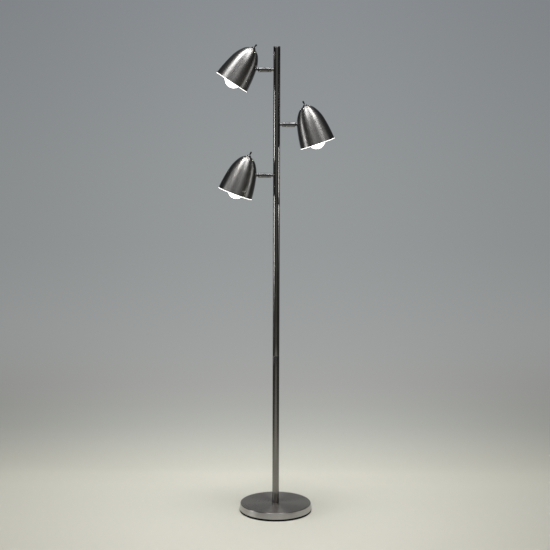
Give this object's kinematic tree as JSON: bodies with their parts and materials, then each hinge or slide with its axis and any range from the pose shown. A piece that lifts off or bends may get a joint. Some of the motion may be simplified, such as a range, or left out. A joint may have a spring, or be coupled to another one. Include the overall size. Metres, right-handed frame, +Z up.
{
  "type": "floor lamp",
  "caption": "Floor lamp with a round weighted base, a slim sectioned pole and three bullet-shaped metal spot heads on short swivelling arms, each with a toggle on top.",
  "frame": {"origin": "middle of the base's underside, on the floor, with the pole on the Z axis", "axes": "+Z up the pole; +X towards the middle head's side, with the arms along X; +Y to the back, where the cord bushing is"},
  "size_m": [0.4096, 0.2606, 1.6608],
  "materials": {
    "shade_steel": "spun and brushed round the axis outside, white paint inside",
    "pole_steel": "fine satin nickel plate",
    "cap_steel": "satin nickel plate",
    "base_steel": "brushed in circles on top",
    "arm_chrome": "polished nickel chrome plate",
    "zinc_steel": "bright zinc plate",
    "spring_steel": "bare spring wire",
    "cast_iron": "rough casting",
    "fibreboard": "pressed board",
    "black_foam": "closed-cell foam",
    "black_plastic": "moulded",
    "black_cable": "PVC insulation",
    "white_nylon": "moulded",
    "white_ceramic": "glazed",
    "brass": "drawn sheet",
    "bulb_diffuser": "frosted diffuser, lit",
    "bulb_white": "white housing with a plated screw cap",
    "switch_plastic": "moulded, with a plated bushing",
    "black_lever": "polished moulding"
  },
  "bodies": {
    "stand": {"base_cover": "base_steel", "base_weight": "cast_iron", "base_board": "fibreboard", "base_pad": "black_foam", "base_nipple": "zinc_steel", "base_nuts": "zinc_steel", "cord_bushing": "black_plastic", "pole_lower": "pole_steel", "pole_middle": "pole_steel", "pole_upper": "pole_steel", "pole_couplers": "zinc_steel", "pole_cap": "cap_steel", "pole_harness": "black_cable", "arm_collars": "arm_chrome", "arm_inserts": "zinc_steel", "arm_springs": "spring_steel", "upper_arm": "arm_chrome", "middle_arm": "arm_chrome", "lower_arm": "arm_chrome"},
    "upper_seat": {"upper_ball_seat": "white_nylon"},
    "upper_head": {"upper_shade": "shade_steel", "upper_ball_stud": "arm_chrome", "upper_bracket": "zinc_steel", "upper_fasteners": "zinc_steel", "upper_lampholder": "white_ceramic", "upper_socket_contacts": "brass", "upper_bulb_globe": "bulb_diffuser", "upper_bulb_base": "bulb_white", "upper_switch_body": "switch_plastic", "upper_switch_nut": "arm_chrome", "upper_leads": "black_cable"},
    "upper_lever": {"upper_switch_lever": "black_lever"},
    "middle_seat": {"middle_ball_seat": "white_nylon"},
    "middle_head": {"middle_shade": "shade_steel", "middle_ball_stud": "arm_chrome", "middle_bracket": "zinc_steel", "middle_fasteners": "zinc_steel", "middle_lampholder": "white_ceramic", "middle_socket_contacts": "brass", "middle_bulb_globe": "bulb_diffuser", "middle_bulb_base": "bulb_white", "middle_switch_body": "switch_plastic", "middle_switch_nut": "arm_chrome", "middle_leads": "black_cable"},
    "middle_lever": {"middle_switch_lever": "black_lever"},
    "lower_seat": {"lower_ball_seat": "white_nylon"},
    "lower_head": {"lower_shade": "shade_steel", "lower_ball_stud": "arm_chrome", "lower_bracket": "zinc_steel", "lower_fasteners": "zinc_steel", "lower_lampholder": "white_ceramic", "lower_socket_contacts": "brass", "lower_bulb_globe": "bulb_diffuser", "lower_bulb_base": "bulb_white", "lower_switch_body": "switch_plastic", "lower_switch_nut": "arm_chrome", "lower_leads": "black_cable"},
    "lower_lever": {"lower_switch_lever": "black_lever"}
  },
  "joints": [
    {"name": "upper_turn", "type": "hinge", "parent": "stand", "child": "upper_seat", "pos_m": [-0.061, 0, 1.574], "axis": [-1, 0, 0], "range_deg": [-150, 150]},
    {"name": "upper_tilt", "type": "hinge", "parent": "upper_seat", "child": "upper_head", "pos_m": [-0.061, 0, 1.574], "axis": [0, 1, 0], "range_deg": [-45, 15]},
    {"name": "upper_switch", "type": "hinge", "parent": "upper_head", "child": "upper_lever", "pos_m": [-0.08054, 0, 1.64718], "axis": [0, -1, 0], "range_deg": [0, 16]},
    {"name": "middle_turn", "type": "hinge", "parent": "stand", "child": "middle_seat", "pos_m": [0.061, 0, 1.386], "axis": [1, 0, 0], "range_deg": [-150, 150]},
    {"name": "middle_tilt", "type": "hinge", "parent": "middle_seat", "child": "middle_head", "pos_m": [0.061, 0, 1.386], "axis": [0, -1, 0], "range_deg": [-30, 30]},
    {"name": "middle_switch", "type": "hinge", "parent": "middle_head", "child": "middle_lever", "pos_m": [0.09789, 0, 1.45216], "axis": [0, 1, 0], "range_deg": [0, 16]},
    {"name": "lower_turn", "type": "hinge", "parent": "stand", "child": "lower_seat", "pos_m": [-0.061, 0, 1.2095], "axis": [-1, 0, 0], "range_deg": [-150, 150]},
    {"name": "lower_tilt", "type": "hinge", "parent": "lower_seat", "child": "lower_head", "pos_m": [-0.061, 0, 1.2095], "axis": [0, 1, 0], "range_deg": [-32, 28]},
    {"name": "lower_switch", "type": "hinge", "parent": "lower_head", "child": "lower_lever", "pos_m": [-0.09592, 0, 1.27672], "axis": [0, -1, 0], "range_deg": [0, 16]}
  ]
}
